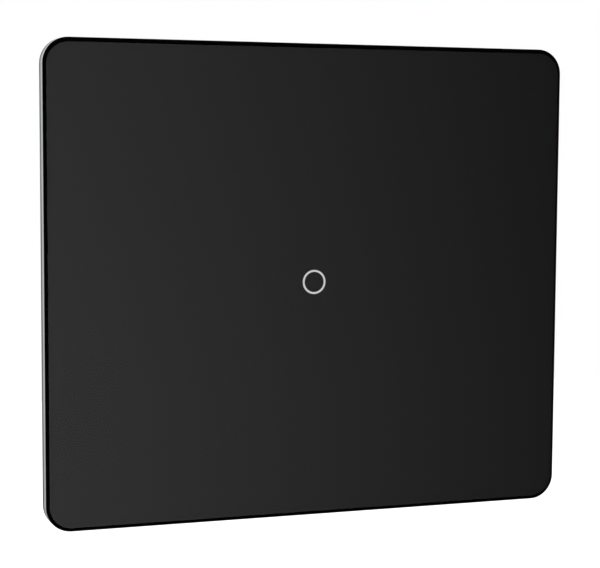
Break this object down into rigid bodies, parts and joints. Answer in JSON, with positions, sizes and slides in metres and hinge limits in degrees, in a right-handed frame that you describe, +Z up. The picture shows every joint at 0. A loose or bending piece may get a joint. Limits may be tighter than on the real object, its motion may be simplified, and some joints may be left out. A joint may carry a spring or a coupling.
{
  "type": "glass light switch",
  "caption": "Wall light switch with a plain black glass touch panel and a ring mark, on a steel plate with a relay module and screw terminals behind.",
  "frame": {"origin": "centre of the steel plate's back, in the plane of the wall", "axes": "+Y into the wall, -Y into the room, +X to the right seen from the room, +Z up"},
  "size_m": [0.098, 0.0316, 0.085],
  "materials": {
    "clear_glass": "polished",
    "black_enamel": "gloss",
    "ring_ink": "enamel",
    "smoked_ink": "translucent",
    "bonding_film": "matte",
    "anodised_aluminium": "satin anodised",
    "black_plastic": "fine texture",
    "grey_plastic": "fine texture",
    "terminal_plastic": "moulded",
    "relay_plastic": "moulded",
    "bobbin_plastic": "moulded",
    "chip_plastic": "moulded",
    "clear_plastic": "clear",
    "lamp": "moulded",
    "circuit_board": "solder mask",
    "plated_steel": "zinc plated",
    "terminal_steel": "yellow passivated",
    "spring_steel": "drawn wire",
    "zinc_plate": "zinc plated sheet",
    "soft_iron": "plated",
    "nickel": "plated",
    "gold_pins": "gold flash",
    "tinned_copper": "tinned",
    "enamelled_copper": "enamelled wire",
    "winding_tape": "tape",
    "ferrite": "sintered",
    "capacitor_box": "moulded",
    "capacitor_sleeve": "sleeve",
    "varistor_coat": "dipped"
  },
  "bodies": {
    "wall_module": {"mounting_plate": "zinc_plate", "module_housing": "grey_plastic", "module_cover": "grey_plastic", "module_screws": "plated_steel", "power_board": "circuit_board", "power_board_screws": "plated_steel", "header_socket": "chip_plastic", "socket_contacts": "gold_pins", "terminal_block": "terminal_plastic", "terminal_bars": "tinned_copper", "relay_base": "relay_plastic", "relay_cover": "relay_plastic", "relay_yoke": "soft_iron", "relay_core": "soft_iron", "relay_bobbin": "bobbin_plastic", "relay_winding": "enamelled_copper", "relay_coil_pins": "tinned_copper", "relay_fixed_contact": "tinned_copper", "transformer_core": "ferrite", "transformer_bobbin": "bobbin_plastic", "transformer_winding": "winding_tape", "film_capacitor": "capacitor_box", "smoothing_capacitors": "capacitor_sleeve", "fuse": "chip_plastic", "varistor": "varistor_coat", "bridge_rectifier": "chip_plastic"},
    "front": {"glass_panel": "clear_glass", "back_print": "black_enamel", "ring_mark": "ring_ink", "ring_window": "smoked_ink", "glass_adhesive": "bonding_film", "bezel_frame": "anodised_aluminium", "front_carrier": "black_plastic", "bezel_screws": "plated_steel", "magnets": "nickel", "touch_board": "circuit_board", "touch_board_screws": "plated_steel", "touch_spring": "spring_steel", "light_guide": "clear_plastic", "status_led": "lamp", "touch_chip": "chip_plastic", "header_strip": "chip_plastic", "header_pins": "gold_pins"},
    "relay_armature": {"relay_armature": "soft_iron", "relay_contact_blade": "tinned_copper"},
    "terminal_screw_1": {"terminal_screw_1": "terminal_steel"},
    "clamp_cage_1": {"clamp_cage_1": "terminal_steel"},
    "terminal_screw_2": {"terminal_screw_2": "terminal_steel"},
    "clamp_cage_2": {"clamp_cage_2": "terminal_steel"},
    "terminal_screw_3": {"terminal_screw_3": "terminal_steel"},
    "clamp_cage_3": {"clamp_cage_3": "terminal_steel"},
    "terminal_screw_4": {"terminal_screw_4": "terminal_steel"},
    "clamp_cage_4": {"clamp_cage_4": "terminal_steel"}
  },
  "joints": [
    {"name": "front_pull", "type": "slide", "parent": "wall_module", "child": "front", "axis": [0, -1, 0], "range_m": [0, 0.025]},
    {"name": "relay_armature_swing", "type": "hinge", "parent": "wall_module", "child": "relay_armature", "pos_m": [-0.0171, 0.017, 0.01025], "axis": [0, 0, -1], "range_deg": [0, 4], "stiffness_Nm_per_rad": 0.004, "springref_deg": -2.86},
    {"name": "terminal_screw_1_turn", "type": "hinge", "parent": "wall_module", "child": "terminal_screw_1", "pos_m": [-0.01125, 0.0138, -0.0175], "axis": [0, -1, 0], "range_deg": [0, 1800]},
    {"name": "clamp_cage_1_rise", "type": "slide", "parent": "wall_module", "child": "clamp_cage_1", "axis": [0, 1, 0], "range_m": [0, 0.0025]},
    {"name": "terminal_screw_2_turn", "type": "hinge", "parent": "wall_module", "child": "terminal_screw_2", "pos_m": [-0.00375, 0.0138, -0.0175], "axis": [0, -1, 0], "range_deg": [0, 1800]},
    {"name": "clamp_cage_2_rise", "type": "slide", "parent": "wall_module", "child": "clamp_cage_2", "axis": [0, 1, 0], "range_m": [0, 0.0025]},
    {"name": "terminal_screw_3_turn", "type": "hinge", "parent": "wall_module", "child": "terminal_screw_3", "pos_m": [0.00375, 0.0138, -0.0175], "axis": [0, -1, 0], "range_deg": [0, 1800]},
    {"name": "clamp_cage_3_rise", "type": "slide", "parent": "wall_module", "child": "clamp_cage_3", "axis": [0, 1, 0], "range_m": [0, 0.0025]},
    {"name": "terminal_screw_4_turn", "type": "hinge", "parent": "wall_module", "child": "terminal_screw_4", "pos_m": [0.01125, 0.0138, -0.0175], "axis": [0, -1, 0], "range_deg": [0, 1800]},
    {"name": "clamp_cage_4_rise", "type": "slide", "parent": "wall_module", "child": "clamp_cage_4", "axis": [0, 1, 0], "range_m": [0, 0.0025]}
  ],
  "couplings": [
    {"joint": "terminal_screw_1_turn", "follows": "clamp_cage_1_rise", "rad_per_m": 12566},
    {"joint": "terminal_screw_2_turn", "follows": "clamp_cage_2_rise", "rad_per_m": 12566},
    {"joint": "terminal_screw_3_turn", "follows": "clamp_cage_3_rise", "rad_per_m": 12566},
    {"joint": "terminal_screw_4_turn", "follows": "clamp_cage_4_rise", "rad_per_m": 12566}
  ]
}
